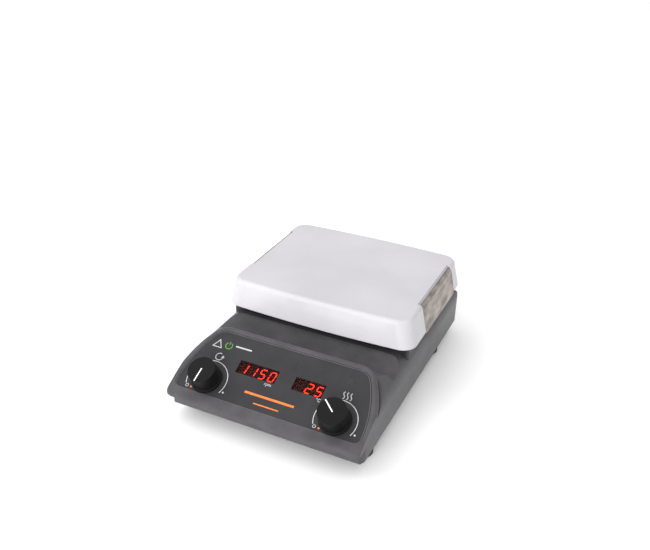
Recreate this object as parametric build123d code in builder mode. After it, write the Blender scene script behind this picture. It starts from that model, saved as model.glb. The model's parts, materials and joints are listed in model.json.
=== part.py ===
from build123d import *
from math import cos, radians, sin, sqrt, tan
import os

# Heated magnetic stirrer: a sloped control housing, a pedestal and a white ceramic top with a skirt.
# Frame: millimetres, X to the right, Y to the back, Z up, origin on the bench under the middle.

# ---- Driving dimensions ----
HALF_DEPTH = 139.5
REAR_WALL_Y = 137.5
HOUSING_HALF = 97.0
HOUSING_BOTTOM = 13.0
DECK_Z = 59.0
SHOULDER_R = 18.0
WALL = 3.0

CHIN_FOOT_Y = -130.0
CHIN_TOP_Y = -133.5
CHIN_TOP_Z = 28.3
FOOT_ROUND = 2.6
CORNER_R = 10.0
REAR_ROUND_R = 24.0

PANEL_TILT = 26.8
PANEL_Y = -132.2
PANEL_Z = 35.2
PANEL_BACK = 68.3
PANEL_SIDE_R = 111.0
PANEL_SIDE_CENTRE = (-17.6, 8.0)
BEZEL_RIM = 6.5
BEZEL_BACK_RIM = 8.7
BEZEL_LIP = 8.2
BEZEL_DEPTH = 14.0
BEZEL_ROUND = 3.6
SKIN = 3.2
WINDOW_TOP = -0.9
WINDOW_T = 1.8
OVERLAY_POCKET = 1.2
OVERLAY_T = 0.8
FIT_GAP = 0.2

CHANNEL_FLOOR = (-51.0, 52.0)
CHANNEL_REAR_Y = -26.7
CHANNEL_FRONT = (-57.0, 57.5)
SLOPE_BELOW_PANEL = 8.0

KNOB_U = 64.9
KNOB_V = 15.9
KNOB_BASE_R = 14.7
KNOB_TOP_R = 13.1
KNOB_LOW = 0.6
KNOB_HIGH = 17.8
KNOB_GROOVES = 8
GROOVE_PHASE = -10.0
SHAFT_R = 3.0
RUNNING_GAP = 0.05
STIR_POINTER = -92.6
HEAT_POINTER = 139.5

WINDOW_V = 37.6
WINDOW_H = 13.2
SPEED_WINDOW = (-22.6, 40.6)
HEAT_WINDOW = (29.5, 29.7)
BOARD_DEPTH = 11.5
BOARD_T = 1.6

PLATE_Y = 50.0
PLATE_HALF = 99.5
PLATE_HALF_DEPTH = 81.0
PLATE_BOW = 3.5
PLATE_CORNER_R = 15.0
SKIRT_Z = 67.0
PLATE_TOP = 95.0
SIDE_FLARE = 6.0
END_DRAFT = 6.5
SKIRT_T = 4.0
CERAMIC_T = 5.0
PLATE_EDGE_R = 4.5
SIDE_PLATE_Y = 57.0
SIDE_PLATE_LENGTH = 88.0
SIDE_PLATE_T = 1.5

PEDESTAL_HALF = 94.0
PEDESTAL_HALF_DEPTH = 70.0
PEDESTAL_SHELF_Z = 66.4
PEDESTAL_TOP = 72.0

FEET = [(x, y) for x in (-83.0, 83.0) for y in (-100.0, 79.0)]
FOOT_R = 11.0
BASE_PLATE_Z = 13.5
BASE_PLATE_T = 1.5
BASE_TOP = BASE_PLATE_Z + BASE_PLATE_T

MOTOR_R = 31.0
MOTOR_LOW = 18.0
BRACKET_Z = 50.0
BRACKET_T = 1.5
MOTOR_SHAFT_R = 3.0
YOKE_Z = 60.0
YOKE_T = 4.0
YOKE_R = 34.0
MAGNET_H = 8.0
DECK_HOLE_R = 38.0

os.makedirs("parts", exist_ok=True)

TILT = radians(PANEL_TILT)
PANEL = Plane(origin=(0, PANEL_Y, PANEL_Z), x_dir=(1, 0, 0), z_dir=(0, -sin(TILT), cos(TILT)))
PANEL_UP = Axis(PANEL.origin, PANEL.z_dir)


def finish(builder, name):
    """Label one finished sub-part and write its STEP file."""
    builder.part.label = name
    export_step(builder.part, f"parts/{name}.step")


def panel_z(y, below=0.0):
    """Height of the plane that lies the given distance under the control panel's plane."""
    return PANEL_Z + (y - PANEL_Y) * tan(TILT) - below / cos(TILT)


def side_x(v, grow):
    """Half-width of the panel outline at v along the slope, grown outwards by grow."""
    centre_x, centre_v = PANEL_SIDE_CENTRE
    return centre_x + sqrt((PANEL_SIDE_R + grow) ** 2 - (v - centre_v) ** 2)


def panel_outline(height, grow=0.0, lip=0.0, back_rim=0.0, front_r=6.0, rear_r=14.0):
    """Sketch of the control panel: straight front and back, bowed sides, rounded corners."""
    front, back = -lip, PANEL_BACK + back_rim
    with BuildSketch(PANEL.offset(height)) as outline:
        with BuildLine():
            Line((-side_x(front, grow), front), (side_x(front, grow), front))
            ThreePointArc(
                (side_x(front, grow), front),
                (side_x(back / 2, grow), back / 2),
                (side_x(back, grow), back),
            )
            Line((side_x(back, grow), back), (-side_x(back, grow), back))
            ThreePointArc(
                (-side_x(back, grow), back),
                (-side_x(back / 2, grow), back / 2),
                (-side_x(front, grow), front),
            )
        make_face()
        fillet(outline.vertices().group_by(Axis.Y)[0], front_r)
        fillet(outline.vertices().group_by(Axis.Y)[-1], rear_r)
    return outline.sketch


def housing_form(inset):
    """Solid body of the housing without its bezel, moved in by inset on every side but the bottom."""
    half = HOUSING_HALF - inset
    with BuildPart() as form:
        with BuildSketch(Plane.XZ) as front_view:
            with Locations((0, DECK_Z - inset)):
                Rectangle(2 * half, 2 * DECK_Z, align=(Align.CENTER, Align.MAX))
            fillet(front_view.vertices().group_by(Axis.Y)[-1], SHOULDER_R - inset)
        extrude(amount=2 * HALF_DEPTH, both=True)
        with BuildSketch(Plane.YZ) as side_view:
            floor_y, floor_z = CHANNEL_FLOOR
            front_y, front_z = CHANNEL_FRONT
            with BuildLine():
                slope_y = front_y - 9.0
                Polyline(
                    (CHIN_FOOT_Y + inset, HOUSING_BOTTOM - 5 * inset),
                    (CHIN_TOP_Y + inset, CHIN_TOP_Z - inset),
                    (slope_y, panel_z(slope_y, SLOPE_BELOW_PANEL + inset)),
                    (front_y, front_z - inset),
                )
                ThreePointArc(
                    (front_y, front_z - inset),
                    (front_y + 2.6, front_z - 5.0 - inset),
                    (floor_y, floor_z - inset),
                )
                TangentArc((floor_y, floor_z - inset), (CHANNEL_REAR_Y, DECK_Z - inset), tangent=(1, 0))
                Line((CHANNEL_REAR_Y, DECK_Z - inset), (REAR_WALL_Y - REAR_ROUND_R, DECK_Z - inset))
                TangentArc(
                    (REAR_WALL_Y - REAR_ROUND_R, DECK_Z - inset),
                    (REAR_WALL_Y - inset, DECK_Z - REAR_ROUND_R),
                    tangent=(1, 0),
                )
                Polyline(
                    (REAR_WALL_Y - inset, DECK_Z - REAR_ROUND_R),
                    (REAR_WALL_Y - inset, HOUSING_BOTTOM - 5 * inset),
                    (CHIN_FOOT_Y + inset, HOUSING_BOTTOM - 5 * inset),
                )
            make_face()
        extrude(amount=2 * HOUSING_HALF, both=True, mode=Mode.INTERSECT)
        with BuildSketch(Plane.XY) as plan:
            with Locations((0, (CHIN_TOP_Y + REAR_WALL_Y) / 2)):
                RectangleRounded(2 * half, REAR_WALL_Y - CHIN_TOP_Y - 2 * inset, CORNER_R - inset)
        extrude(amount=2 * PLATE_TOP, both=True, mode=Mode.INTERSECT)
    return form.part


def panel_points(points):
    """Locations on the panel plane from (u, v) pairs."""
    return [PANEL * Location((u, v, 0)) for u, v in points]


KNOBS = {"stir": (-KNOB_U, KNOB_V), "heat": (KNOB_U, KNOB_V)}
WINDOWS = {"speed": SPEED_WINDOW, "temperature": HEAT_WINDOW}
POWER_LAMP = (-61.4, 54.3)
HOT_LAMP = (63.2, 54.6)
LAMP_R = 3.5
LAMP_STEM_R = 1.6
HOT_LAMP_R = 5.6
BOARD_POSTS = [(-81.0, 36.0), (81.0, 36.0), (-48.0, 60.0), (48.0, 60.0)]
BASE_BOSSES = [(x, y) for x in (-88.5, 88.5) for y in (-122.0, 129.0)]
INLET = (-52.0, 27.0)
FUSE = (-12.0, 27.0)
VENTS_X = 48.0

# ---- Housing ----
with BuildPart() as housing_block:
    add(housing_form(0))
    fillet(housing_block.edges().group_by(Axis.Z)[0], FOOT_ROUND)
housing_solid = housing_block.part
housing_hollow = housing_form(WALL)

with BuildPart() as bezel:
    add(panel_outline(
        0, grow=BEZEL_RIM, lip=BEZEL_LIP, back_rim=BEZEL_BACK_RIM, front_r=10.0, rear_r=20.0,
    ))
    extrude(amount=-BEZEL_DEPTH)
    fillet(bezel.faces().sort_by(PANEL_UP)[-1].edges(), BEZEL_ROUND)
    with Locations((0, 0, CHIN_TOP_Z)):
        Box(
            2 * HOUSING_HALF, 4 * HALF_DEPTH, PLATE_TOP,
            align=(Align.CENTER, Align.CENTER, Align.MIN), mode=Mode.INTERSECT,
        )

with BuildPart() as main_housing:
    add(housing_solid)
    add(bezel.part)
    add(housing_hollow, mode=Mode.SUBTRACT)
    add(panel_outline(-SKIN, grow=-2.0, lip=-2.0, back_rim=-2.0))
    extrude(amount=SKIN - BEZEL_DEPTH, mode=Mode.SUBTRACT)
    add(panel_outline(-OVERLAY_POCKET))
    extrude(amount=2 * OVERLAY_POCKET, mode=Mode.SUBTRACT)
    # posts that carry the control board, and corner bosses for the base plate's screws
    with BuildSketch(PANEL.offset(-SKIN)):
        with Locations(*BOARD_POSTS):
            Circle(3.5)
    extrude(amount=SKIN - BOARD_DEPTH)
    with BuildSketch(Plane.XY.offset(BASE_TOP)):
        with Locations(*BASE_BOSSES):
            Circle(6.0)
    extrude(amount=14.0)
    with BuildSketch(Plane.XY.offset(BASE_TOP)):
        with Locations(*BASE_BOSSES):
            Circle(1.6)
    extrude(amount=12.0, mode=Mode.SUBTRACT)
    # openings in the panel: two windows, two potentiometer bushings, two lamps
    with BuildSketch(PANEL.offset(-BOARD_DEPTH)):
        for u, width in WINDOWS.values():
            with Locations((u, WINDOW_V)):
                Rectangle(width, WINDOW_H)
        with Locations(*KNOBS.values()):
            Circle(3.6)
        with Locations(POWER_LAMP):
            Circle(LAMP_STEM_R + FIT_GAP)
        with Locations(HOT_LAMP):
            Circle(LAMP_STEM_R + FIT_GAP)
    extrude(amount=2 * BOARD_DEPTH, mode=Mode.SUBTRACT)
    # opening over the motor, and the rear panel's openings
    with Locations((0, PLATE_Y, DECK_Z)):
        Cylinder(DECK_HOLE_R, 4 * WALL, mode=Mode.SUBTRACT)
    with BuildSketch(Plane.XZ.offset(-REAR_WALL_Y)):
        with Locations(INLET):
            Rectangle(28.0, 20.5)
            with Locations((-20.0, 0), (20.0, 0)):
                Circle(1.6)
        with Locations(FUSE):
            Circle(7.0)
        with Locations((VENTS_X, FUSE[1])):
            with GridLocations(6.0, 0, 10, 1):
                SlotOverall(18.0, 2.6, rotation=90)
    extrude(amount=2 * WALL, both=True, mode=Mode.SUBTRACT)
finish(main_housing, "main_housing")

with BuildPart() as base_plate:
    with BuildSketch(Plane.XY.offset(BASE_PLATE_Z)):
        plate_front = CHIN_FOOT_Y + WALL + 0.6
        plate_back = REAR_WALL_Y - WALL - FIT_GAP
        with Locations((0, (plate_front + plate_back) / 2)):
            RectangleRounded(2 * (HOUSING_HALF - WALL - FIT_GAP), plate_back - plate_front, 8.0)
        with Locations(*BASE_BOSSES):
            Circle(1.8, mode=Mode.SUBTRACT)
        with Locations((-50.0, -60.0), (50.0, -60.0), (0, 112.0)):
            with GridLocations(0, 7.0, 1, 4):
                SlotOverall(44.0, 2.6, mode=Mode.SUBTRACT)
        with Locations(*FEET):
            Circle(3.0, mode=Mode.SUBTRACT)
    extrude(amount=BASE_PLATE_T)
finish(base_plate, "base_plate")

with BuildPart() as rubber_feet:
    with BuildSketch():
        with Locations(*FEET):
            Circle(FOOT_R - 2.0)
    extrude(amount=2.5)
    with BuildSketch(Plane.XY.offset(2.5)):
        with Locations(*FEET):
            Circle(FOOT_R)
    extrude(amount=BASE_PLATE_Z - 2.5)
    with BuildSketch(Plane.XY.offset(BASE_PLATE_Z)):
        with Locations(*FEET):
            Circle(3.0)
    extrude(amount=BASE_PLATE_T)
    with BuildSketch(Plane.XY.offset(BASE_TOP)):
        with Locations(*FEET):
            Circle(4.5)
    extrude(amount=2.0)
    fillet(rubber_feet.edges().group_by(Axis.Z)[0], 1.2)
finish(rubber_feet, "rubber_feet")

with BuildPart() as housing_screws:
    for x, y in BASE_BOSSES:
        with Locations((x, y, BASE_PLATE_Z)):
            Cylinder(3.0, 1.8, align=(Align.CENTER, Align.CENTER, Align.MAX))
            Cylinder(1.6, 11.0, align=(Align.CENTER, Align.CENTER, Align.MIN))
        with Locations((x, y, BASE_PLATE_Z - 1.8)):
            Cylinder(1.2, 1.0, align=(Align.CENTER, Align.CENTER, Align.MIN), mode=Mode.SUBTRACT)
finish(housing_screws, "housing_screws")

# ---- Control panel ----
with BuildPart() as control_overlay:
    add(panel_outline(-OVERLAY_POCKET, grow=-FIT_GAP, lip=-FIT_GAP, back_rim=-FIT_GAP))
    extrude(amount=OVERLAY_T)
    with BuildSketch(PANEL.offset(-OVERLAY_POCKET)):
        for u, width in WINDOWS.values():
            with Locations((u, WINDOW_V)):
                Rectangle(width, WINDOW_H)
        with Locations(*KNOBS.values()):
            Circle(3.6)
        with Locations(POWER_LAMP):
            Circle(LAMP_R)
        with Locations(HOT_LAMP):
            RegularPolygon(HOT_LAMP_R, 3, rotation=90)
    extrude(amount=2 * OVERLAY_T, mode=Mode.SUBTRACT)
finish(control_overlay, "control_overlay")

for name, (u, width) in WINDOWS.items():
    with BuildPart() as window:
        with BuildSketch(PANEL.offset(WINDOW_TOP)):
            with Locations((u, WINDOW_V)):
                Rectangle(width - FIT_GAP, WINDOW_H - FIT_GAP)
        extrude(amount=-WINDOW_T)
    finish(window, f"{name}_display_window")

    with BuildPart() as digits:
        with BuildSketch(PANEL.offset(-BOARD_DEPTH)):
            with Locations((u, WINDOW_V)):
                Rectangle(width - 1.0, WINDOW_H - 1.0)
        extrude(amount=BOARD_DEPTH - SKIN)
        with BuildSketch(PANEL.offset(-SKIN)):
            with Locations((u, WINDOW_V)):
                with GridLocations(9.6, 0, round(width / 10.0), 1):
                    Rectangle(6.4, 10.4)
                    Rectangle(4.6, 3.6, mode=Mode.SUBTRACT)
        extrude(amount=-0.5, mode=Mode.SUBTRACT)
    finish(digits, f"{name}_display_digits")

with BuildPart() as power_lamp:
    with BuildSketch(PANEL.offset(-OVERLAY_POCKET)):
        with Locations(POWER_LAMP):
            Circle(LAMP_R - 0.1)
    extrude(amount=OVERLAY_T - 0.1)
    with BuildSketch(PANEL.offset(-OVERLAY_POCKET)):
        with Locations(POWER_LAMP):
            Circle(LAMP_STEM_R)
    extrude(amount=OVERLAY_POCKET - BOARD_DEPTH)
finish(power_lamp, "power_lamp")

with BuildPart() as hot_surface_lamp:
    with BuildSketch(PANEL.offset(-OVERLAY_POCKET)):
        with Locations(HOT_LAMP):
            RegularPolygon(HOT_LAMP_R - 0.2, 3, rotation=90)
    extrude(amount=OVERLAY_T - 0.1)
    with BuildSketch(PANEL.offset(-OVERLAY_POCKET)):
        with Locations(HOT_LAMP):
            Circle(LAMP_STEM_R)
    extrude(amount=OVERLAY_POCKET - BOARD_DEPTH)
finish(hot_surface_lamp, "hot_surface_lamp")

with BuildPart() as control_board:
    with BuildSketch(PANEL.offset(-BOARD_DEPTH)):
        with Locations((0, 36.0)):
            RectangleRounded(168.0, 56.0, 8.0)
        with Locations(*BOARD_POSTS):
            Circle(1.4, mode=Mode.SUBTRACT)
    extrude(amount=-BOARD_T)
finish(control_board, "control_board")

with BuildPart() as board_screws:
    for place in panel_points(BOARD_POSTS):
        with Locations(place * Location((0, 0, -BOARD_DEPTH - BOARD_T))):
            Cylinder(2.6, 1.6, align=(Align.CENTER, Align.CENTER, Align.MAX))
            Cylinder(1.4, BOARD_T, align=(Align.CENTER, Align.CENTER, Align.MIN))
finish(board_screws, "board_screws")

NUT_T = 2.0
BUSHING_R = 3.5
BUSHING_TOP = 3.2
SOCKET_DEPTH = 4.4
NUT_SEAT = -OVERLAY_POCKET + OVERLAY_T
SHAFT_TOP = 13.5
SHAFT_CHAMFER = 0.6
SHAFT_FOOT = -10.0
POT_TOP = -5.2

with BuildPart() as potentiometer_nuts:
    with BuildSketch(PANEL.offset(NUT_SEAT)):
        with Locations(*KNOBS.values()):
            RegularPolygon(6.0, 6)
            Circle(BUSHING_R, mode=Mode.SUBTRACT)
    extrude(amount=NUT_T)
finish(potentiometer_nuts, "potentiometer_nuts")

MARKER_START = -1.2
MARKER_L = 13.6
MARKER_W = 1.1
MARKER_T = 0.5

for name, pointer in (("stir", STIR_POINTER), ("heat", HEAT_POINTER)):
    knob_plane = Plane(
        origin=PANEL.from_local_coords((*KNOBS[name], 0)),
        x_dir=PANEL.x_dir, z_dir=PANEL.z_dir,
    )

    with BuildPart() as potentiometer:
        with BuildSketch(knob_plane.offset(-BOARD_DEPTH)):
            RectangleRounded(16.6, 16.6, 3.0)
        extrude(amount=BOARD_DEPTH + POT_TOP)
        with BuildSketch(knob_plane.offset(POT_TOP)):
            Circle(BUSHING_R)
        extrude(amount=BUSHING_TOP - POT_TOP)
        with BuildSketch(knob_plane.offset(SHAFT_FOOT - 0.2)):
            Circle(SHAFT_R + RUNNING_GAP)
        extrude(amount=BUSHING_TOP - SHAFT_FOOT + 1.0, mode=Mode.SUBTRACT)
    finish(potentiometer, f"{name}_potentiometer")

    with BuildPart() as control_shaft:
        with BuildSketch(knob_plane.offset(SHAFT_FOOT)):
            Circle(SHAFT_R)
        extrude(amount=SHAFT_TOP - SHAFT_FOOT)
        chamfer(control_shaft.edges().sort_by(PANEL_UP)[-1], SHAFT_CHAMFER)
    finish(control_shaft, f"{name}_control_shaft")

    with BuildPart() as knob:
        with BuildSketch(knob_plane * Plane.XZ):
            with BuildLine():
                Polyline(
                    (0, SHAFT_TOP), (SHAFT_R - SHAFT_CHAMFER, SHAFT_TOP),
                    (SHAFT_R, SHAFT_TOP - SHAFT_CHAMFER), (SHAFT_R, SOCKET_DEPTH),
                    (7.6, SOCKET_DEPTH), (7.6, KNOB_LOW), (KNOB_BASE_R, KNOB_LOW),
                    (KNOB_BASE_R, 2.6), (KNOB_BASE_R - 0.7, 3.4), (KNOB_TOP_R, KNOB_HIGH),
                    (0, KNOB_HIGH), (0, SHAFT_TOP),
                )
            make_face()
        revolve(axis=Axis(knob_plane.origin, knob_plane.z_dir))
        fillet(knob.edges().group_by(PANEL_UP)[-1], 0.7)
        # shallow finger grooves that stop short of the top face
        with BuildSketch(knob_plane.offset(4.2)):
            with PolarLocations(KNOB_BASE_R, KNOB_GROOVES, start_angle=pointer + GROOVE_PHASE):
                Circle(1.1)
        extrude(amount=KNOB_HIGH - 6.4, mode=Mode.SUBTRACT)
        with BuildSketch(knob_plane.offset(KNOB_HIGH)):
            with Locations(Location((0, 0, 0), pointer)):
                with Locations((MARKER_START + MARKER_L / 2, 0)):
                    Rectangle(MARKER_L, MARKER_W)
        extrude(amount=-MARKER_T, mode=Mode.SUBTRACT)
    finish(knob, f"{name}_knob")

    with BuildPart() as marker:
        with BuildSketch(knob_plane.offset(KNOB_HIGH - MARKER_T)):
            with Locations(Location((0, 0, 0), pointer)):
                with Locations((MARKER_START + MARKER_L / 2, 0)):
                    Rectangle(MARKER_L, MARKER_W)
        extrude(amount=MARKER_T)
    finish(marker, f"{name}_knob_marker")

# ---- Ceramic top ----
def skirt_x(z, inward=0.0):
    """Half-width of the top's side at height z."""
    return PLATE_HALF - inward - SIDE_FLARE * (z - SKIRT_Z) / (PLATE_TOP - SKIRT_Z)


def plate_block(top, inward=0.0):
    """Solid of the top from the skirt's rim up to a height, with bowed ends and flared sides."""
    depth = PLATE_HALF_DEPTH - inward
    rise = top - SKIRT_Z
    with BuildPart() as block:
        with BuildSketch(Plane((0, PLATE_Y, SKIRT_Z))):
            with BuildLine():
                side_end = depth - PLATE_BOW
                ThreePointArc((-PLATE_HALF, -side_end), (0, -depth), (PLATE_HALF, -side_end))
                Line((PLATE_HALF, -side_end), (PLATE_HALF, side_end))
                ThreePointArc((PLATE_HALF, side_end), (0, depth), (-PLATE_HALF, side_end))
                Line((-PLATE_HALF, side_end), (-PLATE_HALF, -side_end))
            make_face()
        extrude(amount=rise, taper=END_DRAFT)
        with BuildSketch(Plane.XZ.offset(-PLATE_Y)):
            with BuildLine():
                Polyline(
                    (-skirt_x(SKIRT_Z, inward), SKIRT_Z), (skirt_x(SKIRT_Z, inward), SKIRT_Z),
                    (skirt_x(top, inward), top), (-skirt_x(top, inward), top), close=True,
                )
            make_face()
        extrude(amount=2 * PLATE_HALF_DEPTH, both=True, mode=Mode.INTERSECT)
        upright = block.edges().filter_by(lambda edge: abs(edge.tangent_at(0.5).Z) > 0.8)
        fillet(upright, PLATE_CORNER_R - inward)
    return block.part


BEND_Z = 89.5
SIDE_PLATE_TOP_Z = 93.6
SIDE_PLATE_FOOT = SKIRT_Z - 1.0
SEAT_GAP = 0.6
BEND_X = skirt_x(BEND_Z)
SIDE_PLATE_TOP_X = BEND_X - 3.2
side_inner = [
    (SIDE_PLATE_TOP_X - 1.1, SIDE_PLATE_TOP_Z - 1.0),
    (BEND_X - SIDE_PLATE_T - 0.2, BEND_Z - 0.8),
    (PLATE_HALF - SIDE_PLATE_T, SIDE_PLATE_FOOT),
]
side_points = [
    (PLATE_HALF, SIDE_PLATE_FOOT), (BEND_X, BEND_Z), (SIDE_PLATE_TOP_X, SIDE_PLATE_TOP_Z),
    *side_inner,
    (PEDESTAL_HALF + 0.1, SIDE_PLATE_FOOT),
    (PEDESTAL_HALF + 0.1, SIDE_PLATE_FOOT - SIDE_PLATE_T),
    (PLATE_HALF, SIDE_PLATE_FOOT - SIDE_PLATE_T),
]
seat_points = [
    *side_inner,
    (PLATE_HALF + 5, SIDE_PLATE_FOOT), (PLATE_HALF + 5, PLATE_TOP + 5),
    (SIDE_PLATE_TOP_X - 2.5, PLATE_TOP + 5), (SIDE_PLATE_TOP_X - 2.5, SIDE_PLATE_TOP_Z + 0.4),
]

with BuildPart() as ceramic_top:
    add(plate_block(PLATE_TOP))
    fillet(ceramic_top.faces().sort_by(Axis.Z)[-1].edges(), PLATE_EDGE_R)
    add(plate_block(PLATE_TOP - CERAMIC_T, SKIRT_T), mode=Mode.SUBTRACT)
    # a flat seat in each side for its metal plate
    for side in (-1, 1):
        with BuildSketch(Plane.XZ.offset(-SIDE_PLATE_Y)):
            with BuildLine():
                Polyline(*[(side * x, z) for x, z in seat_points], close=True)
            make_face()
        extrude(amount=SIDE_PLATE_LENGTH / 2 + SEAT_GAP, both=True, mode=Mode.SUBTRACT)
finish(ceramic_top, "ceramic_top")

for name, side in (("left", -1), ("right", 1)):
    with BuildPart() as side_plate:
        with BuildSketch(Plane.XZ.offset(-SIDE_PLATE_Y)):
            with BuildLine():
                Polyline(*[(side * x, z) for x, z in side_points], close=True)
            make_face()
        extrude(amount=SIDE_PLATE_LENGTH / 2, both=True)
    finish(side_plate, f"{name}_side_plate")

# ---- Pedestal and heater stack ----
PEDESTAL_FLANGE_Z = 61.0
PEDESTAL_SCREWS = [(x, PLATE_Y + y) for x in (-62.0, 62.0) for y in (-50.0, 50.0)]
SPACERS = [(x, PLATE_Y + y) for x in (-78.0, 78.0) for y in (-58.0, 58.0)]
SHIELD_Z = 76.0
SHIELD_T = 1.0
INSULATION_TOP = 86.0
RIBBON_T = 1.5
PROBE = (27.0, PLATE_Y + 18.0)
PROBE_R = 2.5

with BuildPart() as plate_pedestal:
    with Locations((0, PLATE_Y, PEDESTAL_SHELF_Z)):
        Box(
            2 * PEDESTAL_HALF, 2 * PEDESTAL_HALF_DEPTH, 32.0,
            align=(Align.CENTER, Align.CENTER, Align.MAX),
        )
    with Locations((0, PLATE_Y, PEDESTAL_TOP)):
        Box(
            2 * (PEDESTAL_HALF - 4.0), 2 * (PEDESTAL_HALF_DEPTH - 1.0), 32.0,
            align=(Align.CENTER, Align.CENTER, Align.MAX),
        )
    fillet(plate_pedestal.edges().filter_by(Axis.Z), 3.0)
    with Locations((0, PLATE_Y, PEDESTAL_FLANGE_Z)):
        Box(
            2 * (PEDESTAL_HALF - 4.0 - WALL), 2 * (PEDESTAL_HALF_DEPTH - 1.0 - WALL), 32.0,
            align=(Align.CENTER, Align.CENTER, Align.MIN), mode=Mode.SUBTRACT,
        )
    with BuildSketch(Plane.XY.offset(PEDESTAL_FLANGE_Z)):
        with Locations(*SPACERS):
            Rectangle(17.5, 18.5)
    extrude(amount=PEDESTAL_TOP - PEDESTAL_FLANGE_Z)
    with Locations((0, PLATE_Y, DECK_Z - 20.0)):
        Box(
            2 * (PEDESTAL_HALF - 38.0), 2 * (PEDESTAL_HALF_DEPTH - 20.0), 44.0,
            align=(Align.CENTER, Align.CENTER, Align.MIN), mode=Mode.SUBTRACT,
        )
    add(housing_solid, mode=Mode.SUBTRACT)
    with BuildSketch(Plane.XY.offset(DECK_Z)):
        with Locations(*PEDESTAL_SCREWS):
            Circle(1.8)
    extrude(amount=PEDESTAL_FLANGE_Z - DECK_Z, mode=Mode.SUBTRACT)
finish(plate_pedestal, "plate_pedestal")

with BuildPart() as pedestal_screws:
    for x, y in PEDESTAL_SCREWS:
        with Locations((x, y, PEDESTAL_FLANGE_Z)):
            Cylinder(3.2, 2.0, align=(Align.CENTER, Align.CENTER, Align.MIN))
            Cylinder(1.8, PEDESTAL_FLANGE_Z - DECK_Z, align=(Align.CENTER, Align.CENTER, Align.MAX))
finish(pedestal_screws, "pedestal_screws")

with BuildPart() as shield_spacers:
    with BuildSketch(Plane.XY.offset(PEDESTAL_TOP)):
        with Locations(*SPACERS):
            Circle(4.0)
            Circle(1.8, mode=Mode.SUBTRACT)
    extrude(amount=SHIELD_Z - PEDESTAL_TOP)
finish(shield_spacers, "shield_spacers")

SHIELD_HALF = 84.0
SHIELD_HALF_DEPTH = 66.0
with BuildPart() as heat_shield:
    with Locations((0, PLATE_Y, SHIELD_Z)):
        Box(
            2 * SHIELD_HALF, 2 * SHIELD_HALF_DEPTH, INSULATION_TOP - SHIELD_Z,
            align=(Align.CENTER, Align.CENTER, Align.MIN),
        )
    fillet(heat_shield.edges().filter_by(Axis.Z), 4.0)
    with Locations((0, PLATE_Y, SHIELD_Z + SHIELD_T)):
        Box(
            2 * (SHIELD_HALF - SHIELD_T), 2 * (SHIELD_HALF_DEPTH - SHIELD_T), INSULATION_TOP,
            align=(Align.CENTER, Align.CENTER, Align.MIN), mode=Mode.SUBTRACT,
        )
    with Locations((*PROBE, SHIELD_Z)):
        Cylinder(PROBE_R + FIT_GAP, 4.0, mode=Mode.SUBTRACT)
finish(heat_shield, "heat_shield")

with BuildPart() as insulation_block:
    with Locations((0, PLATE_Y, SHIELD_Z + SHIELD_T)):
        Box(
            2 * (SHIELD_HALF - SHIELD_T - 0.3), 2 * (SHIELD_HALF_DEPTH - SHIELD_T - 0.3),
            INSULATION_TOP - SHIELD_Z - SHIELD_T, align=(Align.CENTER, Align.CENTER, Align.MIN),
        )
    with Locations((*PROBE, SHIELD_Z)):
        Cylinder(PROBE_R + FIT_GAP, 40.0, mode=Mode.SUBTRACT)
finish(insulation_block, "insulation_block")

RIBBON_RUNS = 9
RIBBON_PITCH = 12.0
RIBBON_W = 6.0
RIBBON_HALF = 76.0
with BuildPart() as heater_ribbon:
    with BuildSketch(Plane.XY.offset(INSULATION_TOP)):
        first = PLATE_Y - RIBBON_PITCH * (RIBBON_RUNS - 1) / 2
        for run in range(RIBBON_RUNS):
            with Locations((0, first + run * RIBBON_PITCH)):
                Rectangle(2 * RIBBON_HALF, RIBBON_W)
        for run in range(RIBBON_RUNS - 1):
            end = RIBBON_HALF - RIBBON_W / 2 if run % 2 else RIBBON_W / 2 - RIBBON_HALF
            with Locations((end, first + (run + 0.5) * RIBBON_PITCH)):
                Rectangle(RIBBON_W, RIBBON_PITCH)
    extrude(amount=RIBBON_T)
finish(heater_ribbon, "heater_ribbon")

with BuildPart() as heat_spreader:
    with Locations((0, PLATE_Y, INSULATION_TOP + RIBBON_T)):
        Box(
            2 * SHIELD_HALF - 6.0, 2 * SHIELD_HALF_DEPTH - 6.0,
            PLATE_TOP - CERAMIC_T - INSULATION_TOP - RIBBON_T, align=(Align.CENTER, Align.CENTER, Align.MIN),
        )
    fillet(heat_spreader.edges().filter_by(Axis.Z), 4.0)
finish(heat_spreader, "heat_spreader")

with BuildPart() as temperature_probe:
    with Locations((PROBE[0], PROBE[1], SHIELD_Z - 2.0)):
        Cylinder(
            PROBE_R, INSULATION_TOP + RIBBON_T - SHIELD_Z + 2.0,
            align=(Align.CENTER, Align.CENTER, Align.MIN),
        )
finish(temperature_probe, "temperature_probe")

with BuildPart() as thermal_cutout:
    with Locations((-48.0, PLATE_Y + 30.0, SHIELD_Z)):
        Cylinder(7.0, 2.4, align=(Align.CENTER, Align.CENTER, Align.MAX))
        Box(26.0, 7.0, 0.8, align=(Align.CENTER, Align.CENTER, Align.MAX))
finish(thermal_cutout, "thermal_cutout")

# ---- Drive: motor under the deck, magnets under the heat shield ----
CAN_T = 1.5
BEARING_R = 7.0
BEARING_H = 5.0
SHAFT_BOTTOM = MOTOR_LOW + CAN_T + 0.4
BRACKET_HALF = 44.0

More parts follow.
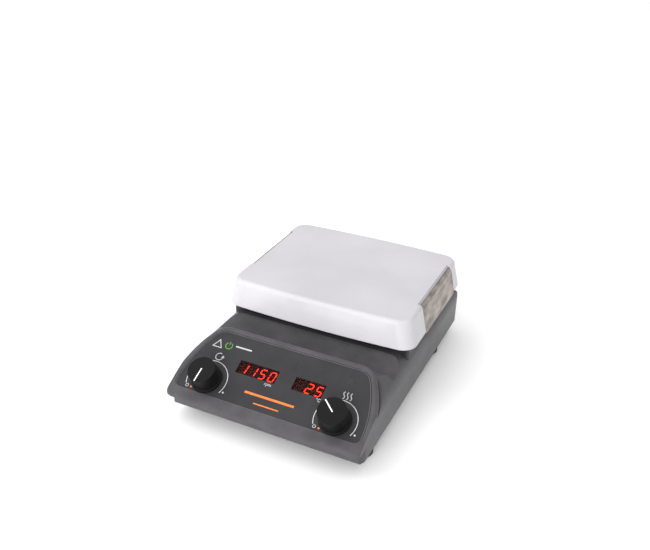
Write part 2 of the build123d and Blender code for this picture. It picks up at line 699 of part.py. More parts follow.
with BuildPart() as motor_can:
    with Locations((0, PLATE_Y, MOTOR_LOW)):
        Cylinder(MOTOR_R, BRACKET_Z - MOTOR_LOW, align=(Align.CENTER, Align.CENTER, Align.MIN))
    fillet(motor_can.edges().group_by(Axis.Z)[0], 2.0)
    with Locations((0, PLATE_Y, MOTOR_LOW + CAN_T)):
        Cylinder(
            MOTOR_R - CAN_T, BRACKET_Z - MOTOR_LOW - 2 * CAN_T,
            align=(Align.CENTER, Align.CENTER, Align.MIN), mode=Mode.SUBTRACT,
        )
        Cylinder(
            BEARING_R, BRACKET_Z - MOTOR_LOW,
            align=(Align.CENTER, Align.CENTER, Align.MIN), mode=Mode.SUBTRACT,
        )
finish(motor_can, "motor_can")

with BuildPart() as motor_stator:
    with Locations((0, PLATE_Y, MOTOR_LOW + CAN_T + 5.0)):
        Cylinder(MOTOR_R - CAN_T, 19.0, align=(Align.CENTER, Align.CENTER, Align.MIN))
        Cylinder(19.0, 19.0, align=(Align.CENTER, Align.CENTER, Align.MIN), mode=Mode.SUBTRACT)
finish(motor_stator, "motor_stator")

with BuildPart() as motor_bearings:
    for z in (MOTOR_LOW + CAN_T, BRACKET_Z - CAN_T - BEARING_H + 1.0):
        with Locations((0, PLATE_Y, z)):
            Cylinder(BEARING_R, BEARING_H, align=(Align.CENTER, Align.CENTER, Align.MIN))
    with Locations((0, PLATE_Y, MOTOR_LOW + CAN_T)):
        Cylinder(
            MOTOR_SHAFT_R + RUNNING_GAP, DECK_Z,
            align=(Align.CENTER, Align.CENTER, Align.MIN), mode=Mode.SUBTRACT,
        )
finish(motor_bearings, "motor_bearings")

with BuildPart() as rotor_core:
    with Locations((0, PLATE_Y, MOTOR_LOW + CAN_T + 6.0)):
        Cylinder(18.0, 17.0, align=(Align.CENTER, Align.CENTER, Align.MIN))
        Cylinder(MOTOR_SHAFT_R, 17.0, align=(Align.CENTER, Align.CENTER, Align.MIN), mode=Mode.SUBTRACT)
finish(rotor_core, "rotor_core")

with BuildPart() as motor_shaft:
    with Locations((0, PLATE_Y, SHAFT_BOTTOM)):
        Cylinder(
            MOTOR_SHAFT_R, YOKE_Z + YOKE_T - SHAFT_BOTTOM,
            align=(Align.CENTER, Align.CENTER, Align.MIN),
        )
finish(motor_shaft, "motor_shaft")

with BuildPart() as encoder_disc:
    with Locations((0, PLATE_Y, 54.5)):
        Cylinder(6.0, 3.5, align=(Align.CENTER, Align.CENTER, Align.MIN))
        Cylinder(16.0, 0.8, align=(Align.CENTER, Align.CENTER, Align.MIN))
        Cylinder(MOTOR_SHAFT_R, 3.5, align=(Align.CENTER, Align.CENTER, Align.MIN), mode=Mode.SUBTRACT)
    with BuildSketch(Plane.XY.offset(54.5)):
        with Locations((0, PLATE_Y)):
            with PolarLocations(13.5, 24):
                Rectangle(3.0, 1.4)
    extrude(amount=0.8, mode=Mode.SUBTRACT)
finish(encoder_disc, "encoder_disc")

with BuildPart() as encoder_sensor:
    with Locations((17.0, PLATE_Y, BRACKET_Z + BRACKET_T)):
        Box(9.0, 6.0, 8.0, align=(Align.CENTER, Align.CENTER, Align.MIN))
    with Locations((11.5, PLATE_Y, 53.7)):
        Box(12.0, 6.0, 2.4, align=(Align.CENTER, Align.CENTER, Align.MIN), mode=Mode.SUBTRACT)
finish(encoder_sensor, "encoder_sensor")

with BuildPart() as motor_bracket:
    with Locations((0, PLATE_Y, BRACKET_Z)):
        Box(
            2 * BRACKET_HALF + 12, 2 * BRACKET_HALF + 12, BRACKET_T,
            align=(Align.CENTER, Align.CENTER, Align.MIN),
        )
    fillet(motor_bracket.edges().filter_by(Axis.Z), 8.0)
    with BuildSketch(Plane.XY.offset(BRACKET_Z)):
        with Locations((0, PLATE_Y)):
            Circle(BEARING_R + 1.0)
            with PolarLocations(34.0, 4):
                SlotOverall(16.0, 6.0, rotation=90)
    extrude(amount=BRACKET_T, mode=Mode.SUBTRACT)
finish(motor_bracket, "motor_bracket")

with BuildPart() as motor_isolators:
    with BuildSketch(Plane.XY.offset(BRACKET_Z + BRACKET_T)):
        with Locations((0, PLATE_Y)):
            with GridLocations(2 * BRACKET_HALF, 2 * BRACKET_HALF, 2, 2):
                Circle(5.0)
                Circle(2.0, mode=Mode.SUBTRACT)
    extrude(amount=DECK_Z - WALL - BRACKET_Z - BRACKET_T)
finish(motor_isolators, "motor_isolators")

with BuildPart() as magnet_yoke:
    with Locations((0, PLATE_Y, YOKE_Z)):
        Cylinder(YOKE_R, YOKE_T, align=(Align.CENTER, Align.CENTER, Align.MIN))
    chamfer(magnet_yoke.edges(), 0.6)
    with Locations((0, PLATE_Y, YOKE_Z)):
        Cylinder(MOTOR_SHAFT_R, YOKE_T, align=(Align.CENTER, Align.CENTER, Align.MIN), mode=Mode.SUBTRACT)
finish(magnet_yoke, "magnet_yoke")

with BuildPart() as drive_magnets:
    with BuildSketch(Plane.XY.offset(YOKE_Z + YOKE_T)):
        with Locations((-20.0, PLATE_Y), (20.0, PLATE_Y)):
            RectangleRounded(16.0, 24.0, 2.0)
    extrude(amount=MAGNET_H)
finish(drive_magnets, "drive_magnets")

# ---- Power electronics ----
with BuildPart() as transformer_core:
    with Locations((-64.0, 40.0, BASE_TOP)):
        Box(46.0, 54.0, 30.0, align=(Align.CENTER, Align.CENTER, Align.MIN))
    with Locations((-64.0, 28.5, BASE_TOP + 7.0), (-64.0, 51.5, BASE_TOP + 7.0)):
        Box(46.0, 9.0, 16.0, align=(Align.CENTER, Align.CENTER, Align.MIN), mode=Mode.SUBTRACT)
finish(transformer_core, "transformer_core")

with BuildPart() as transformer_windings:
    for y in (28.5, 51.5):
        with Locations((-64.0, y, BASE_TOP + 7.0)):
            Box(50.0, 8.6, 15.6, align=(Align.CENTER, Align.CENTER, Align.MIN))
finish(transformer_windings, "transformer_windings")

POWER_BOARD = (63.0, 45.0)
POWER_BOARD_Z = 23.0
POWER_POSTS = [(POWER_BOARD[0] + x, POWER_BOARD[1] + y) for x in (-19.0, 19.0) for y in (-60.0, 60.0)]

with BuildPart() as power_board_standoffs:
    with BuildSketch(Plane.XY.offset(BASE_TOP)):
        with Locations(*POWER_POSTS):
            RegularPolygon(3.2, 6)
    extrude(amount=POWER_BOARD_Z - BASE_TOP)
finish(power_board_standoffs, "power_board_standoffs")

with BuildPart() as power_board:
    with Locations((*POWER_BOARD, POWER_BOARD_Z)):
        Box(48.0, 130.0, BOARD_T, align=(Align.CENTER, Align.CENTER, Align.MIN))
finish(power_board, "power_board")

BOARD_TOP = POWER_BOARD_Z + BOARD_T
with BuildPart() as smoothing_capacitors:
    with Locations((52.0, -4.0, BOARD_TOP), (72.0, -4.0, BOARD_TOP)):
        Cylinder(8.0, 20.0, align=(Align.CENTER, Align.CENTER, Align.MIN))
finish(smoothing_capacitors, "smoothing_capacitors")

with BuildPart() as heat_sink:
    with Locations((66.0, 40.0, BOARD_TOP)):
        Box(4.0, 46.0, 20.0, align=(Align.CENTER, Align.CENTER, Align.MIN))
    with Locations((68.0, 40.0, BOARD_TOP)):
        with GridLocations(0, 7.0, 1, 7):
            Box(12.0, 2.0, 20.0, align=(Align.MIN, Align.CENTER, Align.MIN))
finish(heat_sink, "heat_sink")

with BuildPart() as power_triac:
    with Locations((64.0, 40.0, BOARD_TOP + 3.0)):
        Box(4.5, 10.0, 15.0, align=(Align.MAX, Align.CENTER, Align.MIN))
finish(power_triac, "power_triac")

# ---- Rear connections ----
INLET_X, INLET_Z = INLET
INLET_PINS = [(INLET_X - 7.0, INLET_Z - 1.0), (INLET_X, INLET_Z + 3.0), (INLET_X + 7.0, INLET_Z - 1.0)]

with BuildPart() as mains_inlet:
    with BuildSketch(Plane.XZ.offset(-REAR_WALL_Y)):
        with Locations(INLET):
            RectangleRounded(50.0, 24.0, 5.0)
    extrude(amount=-(HALF_DEPTH - REAR_WALL_Y))
    with BuildSketch(Plane.XZ.offset(-REAR_WALL_Y)):
        with Locations(INLET):
            Rectangle(27.6, 20.1)
    extrude(amount=22.0)
    with BuildSketch(Plane.XZ.offset(-HALF_DEPTH)) as mouth:
        with Locations(INLET):
            Rectangle(24.0, 16.6)
        chamfer(mouth.vertices().group_by(Axis.Y)[-1], 3.6)
    extrude(amount=18.0, mode=Mode.SUBTRACT)
    with BuildSketch(Plane.XZ.offset(-HALF_DEPTH)):
        with Locations(INLET):
            with Locations((-20.0, 0), (20.0, 0)):
                Circle(1.6)
    extrude(amount=HALF_DEPTH - REAR_WALL_Y, mode=Mode.SUBTRACT)
finish(mains_inlet, "mains_inlet")

with BuildPart() as inlet_pins:
    with BuildSketch(Plane.XZ.offset(-(REAR_WALL_Y - 22.0 + 6.0))):
        with Locations(*INLET_PINS):
            Rectangle(2.0, 4.6)
    extrude(amount=-13.5)
finish(inlet_pins, "inlet_pins")

with BuildPart() as inlet_screws:
    for x in (INLET_X - 20.0, INLET_X + 20.0):
        with BuildSketch(Plane.XZ.offset(-HALF_DEPTH)):
            with Locations((x, INLET_Z)):
                Circle(1.6)
        extrude(amount=HALF_DEPTH - REAR_WALL_Y + WALL + 3.0)
finish(inlet_screws, "inlet_screws")

with BuildPart() as fuse_holder:
    with BuildSketch(Plane.XZ.offset(-REAR_WALL_Y)):
        with Locations(FUSE):
            Circle(9.0)
    extrude(amount=-(HALF_DEPTH - REAR_WALL_Y))
    with BuildSketch(Plane.XZ.offset(-REAR_WALL_Y)):
        with Locations(FUSE):
            Circle(6.9)
    extrude(amount=26.0)
    with BuildSketch(Plane.XZ.offset(-HALF_DEPTH)):
        with Locations(FUSE):
            Rectangle(9.0, 1.4)
    extrude(amount=1.0, mode=Mode.SUBTRACT)
finish(fuse_holder, "fuse_holder")
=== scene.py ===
import json
import math

import bmesh
import bpy
from mathutils import Matrix, Vector


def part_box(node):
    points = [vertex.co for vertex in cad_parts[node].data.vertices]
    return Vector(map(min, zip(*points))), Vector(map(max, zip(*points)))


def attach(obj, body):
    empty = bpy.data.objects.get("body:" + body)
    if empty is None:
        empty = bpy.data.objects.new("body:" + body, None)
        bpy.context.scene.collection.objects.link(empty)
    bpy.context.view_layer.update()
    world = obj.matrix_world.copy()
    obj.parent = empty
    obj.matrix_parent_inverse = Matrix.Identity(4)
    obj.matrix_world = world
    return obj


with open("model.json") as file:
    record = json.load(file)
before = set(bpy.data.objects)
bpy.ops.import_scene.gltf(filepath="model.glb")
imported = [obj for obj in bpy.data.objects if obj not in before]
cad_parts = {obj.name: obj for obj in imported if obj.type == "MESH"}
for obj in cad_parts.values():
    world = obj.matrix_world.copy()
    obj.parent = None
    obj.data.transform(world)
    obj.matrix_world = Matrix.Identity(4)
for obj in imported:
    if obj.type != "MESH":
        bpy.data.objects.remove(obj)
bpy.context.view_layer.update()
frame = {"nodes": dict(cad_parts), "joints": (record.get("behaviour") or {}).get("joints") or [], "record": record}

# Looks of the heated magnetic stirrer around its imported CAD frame. Metres, X right, Y back, Z up.

record = frame["record"]
nodes = frame["nodes"]
MM = 0.001

# ---- The control panel's own plane, found from the two knob joints ----
joints = {joint["name"]: joint for joint in frame["joints"]}
STIR_AT = Vector(joints["stir_knob_turn"]["pos_m"])
HEAT_AT = Vector(joints["heat_knob_turn"]["pos_m"])
KNOB_V = 15.9 * MM
ACROSS = Vector((1, 0, 0))
NORMAL = Vector(joints["stir_knob_turn"]["axis"]).normalized()
UPHILL = NORMAL.cross(ACROSS)
PANEL_AT = (STIR_AT + HEAT_AT) / 2 - UPHILL * KNOB_V
OVERLAY_TOP = -0.4 * MM
PRINT_T = 0.06 * MM


def on_panel(u, v, height=0.0):
    """Point of the frame at u across, v up the slope and height above the panel plane, in metres."""
    return PANEL_AT + ACROSS * u + UPHILL * v + NORMAL * height


def panel_uv(point):
    """The (u, v) of a frame point on the panel plane."""
    offset = Vector(point) - PANEL_AT
    return offset.dot(ACROSS), offset.dot(UPHILL)


# ---- Stage: camera, floor and lights ----
CAMERA_AZIMUTH = math.radians(24.9)
CAMERA_ELEVATION = math.radians(28.72)
CAMERA_ROLL = math.radians(1.3)
CAMERA_DISTANCE = 0.90135
CAMERA_TARGET = Vector((-0.05657, 0.11613, 0.03928))
CAMERA_LENS = 43.3
CAMERA_SENSOR = 36.0
WORLD_AT_HORIZON = 0.8
WORLD_OVERHEAD = 1.25
FLOOR_HALF = 6.0
FLOOR_GAP = 0.0002
LIGHT_AIM = (0, 0, 0.05)

scene = bpy.context.scene
scene.view_settings.view_transform = "Standard"


def make_camera():
    """Camera at the viewing angle, given by its bearing round the object."""
    data = bpy.data.cameras.new("camera")
    data.lens = CAMERA_LENS
    data.sensor_width = CAMERA_SENSOR
    camera = bpy.data.objects.new("camera", data)
    scene.collection.objects.link(camera)
    back = Vector((
        math.sin(CAMERA_AZIMUTH) * math.cos(CAMERA_ELEVATION),
        -math.cos(CAMERA_AZIMUTH) * math.cos(CAMERA_ELEVATION),
        math.sin(CAMERA_ELEVATION),
    ))
    camera.location = CAMERA_TARGET + back * CAMERA_DISTANCE
    turn = (-back).to_track_quat("-Z", "Y").to_matrix() @ Matrix.Rotation(CAMERA_ROLL, 3, "Z")
    camera.rotation_euler = turn.to_euler()
    scene.camera = camera


def make_area_light(name, place, size, power):
    """Soft square light at place, turned towards the object, that leaves no mirror image of itself."""
    data = bpy.data.lights.new(name, "AREA")
    data.shape = "SQUARE"
    data.size = size
    data.energy = power
    light = bpy.data.objects.new(name, data)
    scene.collection.objects.link(light)
    light.location = place
    light.rotation_euler = (Vector(LIGHT_AIM) - Vector(place)).to_track_quat("-Z", "Y").to_euler()
    light.visible_glossy = False


def make_world():
    """White surroundings, brighter overhead than at the horizon."""
    world = bpy.data.worlds.new("studio")
    scene.world = world
    world.use_nodes = True
    tree = world.node_tree
    background = tree.nodes["Background"]
    background.inputs["Color"].default_value = (1, 1, 1, 1)
    direction = add_node(tree, "ShaderNodeTexCoord").outputs["Generated"]
    height = add_node(tree, "ShaderNodeSeparateXYZ", {"Vector": direction}).outputs["Z"]
    strength = mapped(tree, height, 0.0, 1.0, WORLD_AT_HORIZON, WORLD_OVERHEAD)
    tree.links.new(strength, background.inputs["Strength"])


# ---- Node helpers ----
def add_node(tree, kind, values=None, **settings):
    """New node with its settings, and its inputs set to numbers or linked to sockets."""
    made = tree.nodes.new(kind)
    for key, value in settings.items():
        setattr(made, key, value)
    for key, value in (values or {}).items():
        if isinstance(value, bpy.types.NodeSocket):
            tree.links.new(value, made.inputs[key])
        else:
            made.inputs[key].default_value = value
    return made


def mapped(tree, value, low, high, to_low=0.0, to_high=1.0):
    """Value taken from the range low..high to the range to_low..to_high."""
    values = {"Value": value, "From Min": low, "From Max": high, "To Min": to_low, "To Max": to_high}
    return add_node(tree, "ShaderNodeMapRange", values).outputs["Result"]


def mixed(tree, factor, first, second, mode="MIX"):
    """Colour between first and second."""
    node = add_node(tree, "ShaderNodeMix", data_type="RGBA", blend_type=mode)
    for index, value in ((0, factor), (6, first), (7, second)):
        if isinstance(value, bpy.types.NodeSocket):
            tree.links.new(value, node.inputs[index])
        else:
            node.inputs[index].default_value = value
    return node.outputs[2]


def rgb(red, green, blue):
    """Opaque colour for a node socket."""
    return (red, green, blue, 1.0)


def start_material(name, stretch=(1, 1, 1)):
    """New material: its tree, its shader and object coordinates scaled by stretch."""
    material = bpy.data.materials.new(name)
    material.use_nodes = True
    tree = material.node_tree
    shader = tree.nodes["Principled BSDF"]
    coordinates = add_node(tree, "ShaderNodeTexCoord").outputs["Object"]
    mapping = add_node(tree, "ShaderNodeMapping", {"Vector": coordinates, "Scale": stretch})
    return material, tree, shader, mapping.outputs["Vector"]


def noise(tree, coordinates, scale, detail=3.0, roughness=0.55):
    """Noise value between 0 and 1."""
    values = {"Vector": coordinates, "Scale": scale, "Detail": detail, "Roughness": roughness}
    return add_node(tree, "ShaderNodeTexNoise", values).outputs["Fac"]


def surface(name, dark, light, roughness, spread=0.06, metallic=0.0, mottle=45.0, grain=1800.0,
            relief=0.03 * MM, stretch=(1, 1, 1), **fixed):
    """Material whose colour drifts from dark to light, with a fine grain in its gloss and relief."""
    material, tree, shader, coordinates = start_material(name, stretch)
    drift = mapped(tree, noise(tree, coordinates, mottle), 0.35, 0.65)
    fine = noise(tree, coordinates, grain, detail=2.0)
    tree.links.new(mixed(tree, drift, rgb(*dark), rgb(*light)), shader.inputs["Base Color"])
    gloss = mapped(tree, fine, 0.3, 0.7, roughness - spread, roughness + spread)
    tree.links.new(gloss, shader.inputs["Roughness"])
    bump = add_node(tree, "ShaderNodeBump", {"Height": fine, "Distance": relief, "Strength": 1.0})
    tree.links.new(bump.outputs["Normal"], shader.inputs["Normal"])
    shader.inputs["Metallic"].default_value = metallic
    for key, value in fixed.items():
        shader.inputs[key.replace("_", " ")].default_value = value
    return material


def grey(value, tint=(1.0, 1.0, 1.0)):
    """Colour of one lightness with a slight tint."""
    return tuple(value * part for part in tint)


VIOLET = (1.0, 0.955, 1.04)

# Slot: dark colour, light colour, roughness, and what else surface() takes.
SURFACES = {
    "housing_paint": (
        grey(0.05, VIOLET), grey(0.068, VIOLET), 0.36,
        {"relief": 0.09 * MM, "grain": 1300.0, "Specular_IOR_Level": 0.3},
    ),
    "pedestal_paint": (grey(0.014), grey(0.02), 0.5, {}),
    "overlay_film": (
        grey(0.024, VIOLET), grey(0.03, VIOLET), 0.5, {"relief": 0.012 * MM, "Specular_IOR_Level": 0.25},
    ),
    "ceramic_white": (
        (0.45, 0.44, 0.465), (0.49, 0.48, 0.505), 0.14,
        {"spread": 0.03, "mottle": 14.0, "grain": 160.0, "relief": 0.01 * MM},
    ),
    "side_steel": (
        (0.20, 0.17, 0.155), (0.42, 0.37, 0.34), 0.42,
        {"metallic": 1.0, "mottle": 120.0, "grain": 1500.0, "stretch": (1, 0.35, 1)},
    ),
    "knob_plastic": (grey(0.003), grey(0.005), 0.42, {"relief": 0.02 * MM, "Specular_IOR_Level": 0.18}),
    "marker_white": (grey(0.72), grey(0.8), 0.5, {}),
    "display_lens": (
        (0.02, 0.002, 0.001), (0.03, 0.003, 0.0015), 0.2,
        {"spread": 0.03, "Alpha": 0.3, "Specular_IOR_Level": 0.2},
    ),
    "display_body": ((0.012, 0.0016, 0.0008), (0.02, 0.0028, 0.0012), 0.7, {"Specular_IOR_Level": 0.1}),
    "lamp_lens": (grey(0.012), grey(0.02), 0.35, {}),
    "base_steel": (grey(0.32), grey(0.42), 0.4, {"metallic": 1.0, "stretch": (0.1, 1, 1)}),
    "foot_rubber": (grey(0.012), grey(0.022), 0.8, {"relief": 0.08 * MM}),
    "steel_screw": (grey(0.38), grey(0.5), 0.3, {"metallic": 1.0}),
    "circuit_board": ((0.008, 0.07, 0.03), (0.015, 0.11, 0.045), 0.35, {"mottle": 260.0}),
    "control_metal": (grey(0.4), grey(0.52), 0.34, {"metallic": 1.0}),
    "shield_steel": (grey(0.42), grey(0.55), 0.3, {"metallic": 1.0, "stretch": (0.15, 1, 1)}),
    "spacer_ceramic": ((0.62, 0.58, 0.5), (0.7, 0.66, 0.58), 0.6, {}),
    "insulation": ((0.5, 0.47, 0.38), (0.72, 0.68, 0.58), 0.95, {"mottle": 320.0, "relief": 0.4 * MM}),
    "heater_alloy": ((0.2, 0.17, 0.15), (0.36, 0.31, 0.28), 0.45, {"metallic": 1.0}),
    "probe_steel": (grey(0.4), grey(0.5), 0.35, {"metallic": 1.0}),
    "motor_steel": (grey(0.26), grey(0.4), 0.36, {"metallic": 1.0, "stretch": (1, 1, 0.1)}),
    "magnet_metal": (grey(0.45), grey(0.6), 0.2, {"metallic": 1.0}),
    "black_plastic": (grey(0.01), grey(0.02), 0.42, {"relief": 0.03 * MM}),
    "copper_winding": ((0.42, 0.13, 0.05), (0.7, 0.26, 0.1), 0.32, {"metallic": 1.0, "stretch": (1, 1, 14)}),
    "heat_sink_metal": (grey(0.35), grey(0.5), 0.45, {"metallic": 1.0, "stretch": (1, 1, 0.1)}),
    "brass_post": ((0.5, 0.36, 0.12), (0.62, 0.45, 0.17), 0.3, {"metallic": 1.0}),
    "pin_metal": (grey(0.5), grey(0.62), 0.28, {"metallic": 1.0}),
}


def print_ink(name, dark, light, glow=0.0):
    """Printed or lit ink, with a slight drift of colour and an optional glow."""
    ink = surface(name, dark, light, 0.5, mottle=240.0, relief=0.004 * MM)
    shader = ink.node_tree.nodes["Principled BSDF"]
    shader.inputs["Emission Color"].default_value = rgb(*light)
    shader.inputs["Emission Strength"].default_value = glow
    return ink


def paint_cad_nodes():
    """Every carried-over CAD node gets the material of its slot in the record."""
    made = {}
    for part in record["subparts"]:
        slot = part["material_slot"]
        if slot not in made:
            dark, light, roughness, rest = SURFACES[slot]
            made[slot] = surface(slot, dark, light, roughness, **rest)
        mesh = nodes[part["node"]].data
        mesh.materials.clear()
        mesh.materials.append(made[slot])


# ---- Mesh helpers for thin pieces that lie on the panel ----
def make_piece(name, mesh_builder, material):
    """Closed piece from a bmesh, with its material, that rides on the chassis."""
    bmesh.ops.recalc_face_normals(mesh_builder, faces=mesh_builder.faces)
    mesh = bpy.data.meshes.new(name)
    mesh_builder.to_mesh(mesh)
    mesh_builder.free()
    mesh.materials.append(material)
    piece = bpy.data.objects.new(name, mesh)
    scene.collection.objects.link(piece)
    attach(piece, "chassis")


def add_slab(builder, outline, low, high):
    """Closed slab over an outline of (u, v) points in mm, between two heights in mm."""
    rings = [
        [builder.verts.new(on_panel(u * MM, v * MM, height * MM)) for u, v in outline]
        for height in (low, high)
    ]
    builder.faces.new(rings[0][::-1])
    builder.faces.new(rings[1])
    for index in range(len(outline)):
        after = (index + 1) % len(outline)
        builder.faces.new((rings[0][index], rings[0][after], rings[1][after], rings[1][index]))


SHARPEST_MITRE = 0.4


def add_line(builder, path, width, low, high, closed=False):
    """Flat closed bar of even width along a path of (u, v) points in mm."""
    count = len(path)
    left, right = [], []
    for index, (u, v) in enumerate(path):
        before = path[index - 1] if index or closed else path[0]
        after = path[(index + 1) % count] if index < count - 1 or closed else path[-1]
        first = Vector((u - before[0], v - before[1]))
        second = Vector((after[0] - u, after[1] - v))
        first = first.normalized() if first.length else second.normalized()
        second = second.normalized() if second.length else first
        side = (first + second).normalized().orthogonal()
        reach = width / 2 / max(SHARPEST_MITRE, side.dot(first.orthogonal()))
        left.append((u + side.x * reach, v + side.y * reach))
        right.append((u - side.x * reach, v - side.y * reach))
    if not closed:
        add_slab(builder, left + right[::-1], low, high)
        return
    corners = [
        [builder.verts.new(on_panel(point[0] * MM, point[1] * MM, height * MM))
         for point, height in ((left[i], low), (right[i], low), (right[i], high), (left[i], high))]
        for i in range(count)
    ]
    for index, ring in enumerate(corners):
        after = corners[(index + 1) % count]
        for side in range(4):
            nearest = (side + 1) % 4
            builder.faces.new((ring[side], ring[nearest], after[nearest], after[side]))


def arc(centre, radius, start, end, steps=40):
    """Points in mm round an arc, angles in degrees anticlockwise from the right."""
    angles = [math.radians(start + (end - start) * i / steps) for i in range(steps + 1)]
    return [(centre[0] + radius * math.cos(a), centre[1] + radius * math.sin(a)) for a in angles]


def disc(centre, radius, steps=24):
    """Points in mm round a whole circle."""
    return arc(centre, radius, 0, 360, steps)[:-1]


def triangle(centre, radius):
    """Corners in mm of an upright triangle with equal sides."""
    return arc(centre, radius, 90, 450, 3)[:-1]


def bar(left, low, right, high):
    """Corners in mm of an upright rectangle."""
    return [(left, low), (right, low), (right, high), (left, high)]


# ---- Prints on the overlay ----
PRINT_SINK = 0.02
PRINT_LOW = OVERLAY_TOP / MM - PRINT_SINK
PRINT_HIGH = PRINT_LOW + PRINT_T / MM
KNOB_U = (HEAT_AT.x - STIR_AT.x) / 2 / MM
KNOBS = [(-KNOB_U, KNOB_V / MM), (KNOB_U, KNOB_V / MM)]
SCALE_R = 19.7
SCALE_START = 208
SCALE_END = -27
END_DOT_R = 22.5
END_DOT_ANGLE = -20
OFF_LABEL = (-15.4, -11.0)
OFF_DOT = (-10.9, -11.5)
ICON_V = 40.9
ICON_R = 3.6
ICON_LINE = 0.8
ARROW_HALF = 1.7
ARROW_LENGTH = 2.6
WAVE_STEPS = 12
WAVE_PITCH = 3.4
WAVE_SWING = 0.9
WAVE_HEIGHT = 7.2
WAVE_AT = (1.4, 36.9)
POWER_AT = (-61.4, 54.2)
POWER_R = 3.4
POWER_LINE = 0.9
TRIANGLE_AT = (-72.5, 52.6)
TRIANGLE_R = 5.2
THERMOMETER_U = 9.1
UNIT_SIZE = 4.4
UNIT_V = 27.2


def print_scales(ink, levels):
    """Arc round each knob, with a dot past its end and a ring for off."""
    scales = bmesh.new()
    for centre in KNOBS:
        add_line(scales, arc(centre, SCALE_R, SCALE_START, SCALE_END, 64), 0.75, *levels)
        end_dot = arc(centre, END_DOT_R, END_DOT_ANGLE, END_DOT_ANGLE + 1, 1)[0]
        add_slab(scales, disc(end_dot, 0.9), *levels)
        label = (centre[0] + OFF_LABEL[0], centre[1] + OFF_LABEL[1])
        add_line(scales, disc(label, 1.35), 0.5, *levels, closed=True)
    make_piece("knob_scale_prints", scales, ink)


def print_symbols(ink, levels):
    """Turning arrow for stirring, waves for heat, a plain triangle and a bar beside the power symbol."""
    symbols = bmesh.new()
    stir_icon = (KNOBS[0][0], ICON_V)
    add_line(symbols, arc(stir_icon, ICON_R, 70, 360, 32), ICON_LINE, *levels)
    tip = (stir_icon[0] + ICON_R, stir_icon[1] - ICON_LINE / 2)
    arrow = [(tip[0] - ARROW_HALF, tip[1]), (tip[0] + ARROW_HALF, tip[1]), (tip[0], tip[1] + ARROW_LENGTH)]
    add_slab(symbols, arrow, *levels)
    for shift in (-WAVE_PITCH, 0.0, WAVE_PITCH):
        start = KNOBS[1][0] + WAVE_AT[0] + shift
        wave = [
            (start + WAVE_SWING * math.sin(step * math.tau / WAVE_STEPS),
             WAVE_AT[1] + step * WAVE_HEIGHT / WAVE_STEPS)
            for step in range(WAVE_STEPS + 1)
        ]
        add_line(symbols, wave, ICON_LINE, *levels)
    add_line(symbols, triangle(TRIANGLE_AT, TRIANGLE_R), ICON_LINE, *levels, closed=True)
    add_slab(symbols, bar(-54.6, 54.9, -37.6, 56.3), *levels)
    make_piece("symbol_prints", symbols, ink)


def print_bars(ink, levels):
    """Plain double bar in the middle of the panel, and each knob's off dot."""
    bars = bmesh.new()
    add_slab(bars, bar(-24.8, 14.6, 25.0, 16.8), *levels)
    add_slab(bars, bar(-12.0, 7.0, 13.2, 8.2), *levels)
    for centre in KNOBS:
        add_slab(bars, disc((centre[0] + OFF_DOT[0], centre[1] + OFF_DOT[1]), 1.05), *levels)
    make_piece("orange_prints", bars, ink)


def print_power(ink, levels):
    """Open ring with a stroke in its gap."""
    power = bmesh.new()
    u, v = POWER_AT
    add_line(power, arc(POWER_AT, POWER_R, 125, 415, 36), POWER_LINE, *levels)
    add_line(power, [(u, v + 1.2), (u, v + 4.2)], POWER_LINE, *levels)
    make_piece("power_symbol", power, ink)


def print_thermometer(ink, levels):
    """Unlit thermometer above the displays."""
    unlit = bmesh.new()
    add_line(unlit, [(THERMOMETER_U, 52.4), (THERMOMETER_U, 59.2)], 1.3, *levels)
    add_slab(unlit, disc((THERMOMETER_U, 51.0), 1.9), *levels)
    make_piece("temperature_symbol", unlit, ink)


def print_units(ink):
    """Unit under the end of each display."""
    slope = Matrix((ACROSS, UPHILL, NORMAL)).transposed().to_4x4()
    for name, body, u in (("speed_unit", "rpm", -11.2), ("temperature_unit", "\u00b0C", 40.4)):
        text = bpy.data.curves.new(name, "FONT")
        text.body = body
        text.size = UNIT_SIZE * MM
        text.extrude = PRINT_T / 2
        text.materials.append(ink)
        unit = bpy.data.objects.new(name, text)
        scene.collection.objects.link(unit)
        unit.matrix_world = Matrix.Translation(on_panel(u * MM, UNIT_V * MM, OVERLAY_TOP)) @ slope
        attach(unit, "chassis")


def make_prints():
    """Every mark on the overlay."""
    white = print_ink("print_white", grey(0.42), grey(0.5))
    orange = print_ink("print_orange", (0.6, 0.14, 0.02), (0.7, 0.18, 0.03))
    green = print_ink("print_green", (0.06, 0.2, 0.02), (0.09, 0.28, 0.03), glow=0.12)
    dark = print_ink("print_dark", grey(0.009), grey(0.013))
    levels = (PRINT_LOW, PRINT_HIGH)
    print_scales(white, levels)
    print_symbols(white, levels)
    print_bars(orange, levels)
    print_power(green, levels)
    print_thermometer(dark, levels)
    print_units(white)


BEAD_INSET = 0.7
BEAD_WIDTH = 0.6
BEAD_HEIGHT = 0.28
HULL_TOLERANCE = 0.002


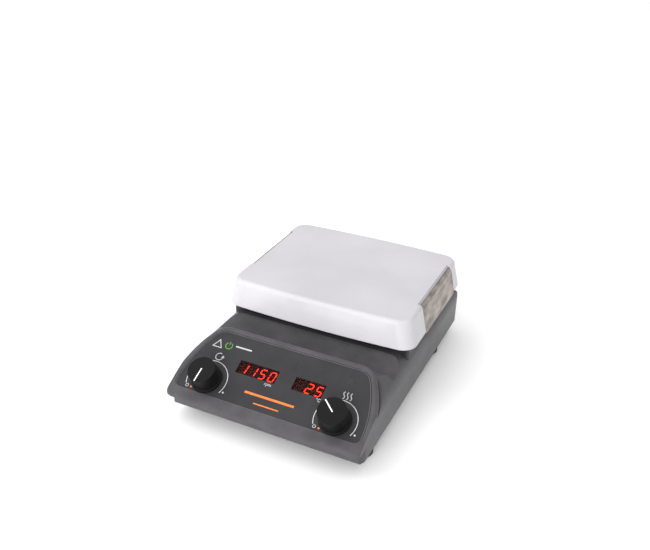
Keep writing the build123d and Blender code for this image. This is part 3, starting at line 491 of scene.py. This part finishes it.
def overlay_outline(inset):
    """The overlay's outer edge, a convex loop of (u, v) points in mm, moved inwards."""
    points = sorted({
        (round(u / MM, 3), round(v / MM, 3))
        for u, v in (panel_uv(vertex.co) for vertex in nodes["control_overlay"].data.vertices)
    })
    hull = []
    for ordered in (points, points[::-1]):
        chain = []
        for point in ordered:
            while len(chain) > 1 and (
                (chain[-1][0] - chain[-2][0]) * (point[1] - chain[-2][1])
                - (chain[-1][1] - chain[-2][1]) * (point[0] - chain[-2][0])
            ) <= HULL_TOLERANCE:
                chain.pop()
            chain.append(point)
        hull += chain[:-1]
    moved = []
    for index, (u, v) in enumerate(hull):
        before, after = hull[index - 1], hull[(index + 1) % len(hull)]
        along = (Vector((u - before[0], v - before[1])).normalized()
                 + Vector((after[0] - u, after[1] - v)).normalized()).normalized()
        moved.append((u - along.y * inset, v + along.x * inset))
    return moved


def make_overlay_bead():
    """Fine raised line just inside the overlay's edge, coloured lighter than the overlay as a painted highlight.
    """
    bead = bmesh.new()
    outline = overlay_outline(BEAD_INSET)
    add_line(bead, outline, BEAD_WIDTH, PRINT_LOW, PRINT_LOW + BEAD_HEIGHT, closed=True)
    # Lighter than the overlay film: a painted highlight along the overlay's edge.
    shine = surface("bead_painted_highlight", grey(0.07, VIOLET), grey(0.09, VIOLET), 0.3, relief=0.01 * MM)
    make_piece("overlay_edge_bead", bead, shine)


# ---- Display digits ----
DIGIT_HEIGHT = 9.4
DIGIT_WIDTH = 5.2
DIGIT_SLANT = math.tan(math.radians(9.0))
DIGIT_PITCH = 9.7
STROKE = 1.0
SEGMENT_GAP = 0.25
SEGMENT_LOW = -3.18
SEGMENT_HIGH = -2.86
SEGMENTS = {
    "a": ((0, 1), (1, 1)), "b": ((1, 1), (1, 0.5)), "c": ((1, 0.5), (1, 0)), "d": ((0, 0), (1, 0)),
    "e": ((0, 0.5), (0, 0)), "f": ((0, 1), (0, 0.5)), "g": ((0, 0.5), (1, 0.5)),
}
SHAPES = {" ": "", "0": "abcdef", "1": "bc", "2": "abged", "5": "afgcd"}


def add_segment(builder, corner, ends):
    """One pointed bar of a digit, slanted like the rest."""
    points = [Vector((x * DIGIT_WIDTH, y * DIGIT_HEIGHT)) for x, y in ends]
    along = (points[1] - points[0]).normalized()
    side = along.orthogonal() * STROKE / 2
    start, end = points[0] + along * SEGMENT_GAP, points[1] - along * SEGMENT_GAP
    loop = [
        start, start + along * STROKE / 2 + side, end - along * STROKE / 2 + side,
        end, end - along * STROKE / 2 - side, start + along * STROKE / 2 - side,
    ]
    outline = [(corner[0] + p.x + p.y * DIGIT_SLANT, corner[1] + p.y) for p in loop]
    add_slab(builder, outline, SEGMENT_LOW, SEGMENT_HIGH)


def make_display(name, text, lit, unlit):
    """Lit and unlit segments of one display, spaced evenly under its window."""
    low, high = (panel_uv(corner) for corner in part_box(f"{name}_display_window"))
    centre_u = (low[0] + high[0]) / 2 / MM
    centre_v = (low[1] + high[1]) / 2 / MM
    bright, faint = bmesh.new(), bmesh.new()
    for index, digit in enumerate(text):
        u = centre_u + (index - (len(text) - 1) / 2) * DIGIT_PITCH
        u -= (DIGIT_WIDTH + DIGIT_HEIGHT * DIGIT_SLANT) / 2
        for segment, ends in SEGMENTS.items():
            builder = bright if segment in SHAPES[digit] else faint
            add_segment(builder, (u, centre_v - DIGIT_HEIGHT / 2), ends)
    make_piece(f"{name}_lit_segments", bright, lit)
    make_piece(f"{name}_unlit_segments", faint, unlit)


def make_displays():
    """Both displays' segments."""
    lit = print_ink("segment_lit", (0.9, 0.02, 0.01), (1.0, 0.035, 0.015), glow=3.2)
    unlit = print_ink("segment_unlit", (0.04, 0.004, 0.002), (0.05, 0.006, 0.0025))
    make_display("speed", "1150", lit, unlit)
    make_display("temperature", " 25", lit, unlit)


def make_floor():
    """Plain pale floor, a little under the feet."""
    mesh = bpy.data.meshes.new("floor")
    corners = [(x * FLOOR_HALF, y * FLOOR_HALF, 0) for x, y in ((-1, -1), (1, -1), (1, 1), (-1, 1))]
    mesh.from_pydata(corners, [], [(0, 1, 2, 3)])
    floor = bpy.data.objects.new("floor", mesh)
    scene.collection.objects.link(floor)
    floor.location.z = -FLOOR_GAP
    mesh.materials.append(surface("floor", grey(0.89), grey(0.9), 0.7, mottle=3.0, relief=0.0))


make_camera()
make_world()
make_area_light("key", place=(-0.9, -0.7, 1.5), size=1.4, power=12.0)
make_area_light("front", place=(0.0, -1.8, 0.35), size=1.0, power=32.0)
make_floor()
paint_cad_nodes()
make_prints()
make_overlay_bead()
make_displays()
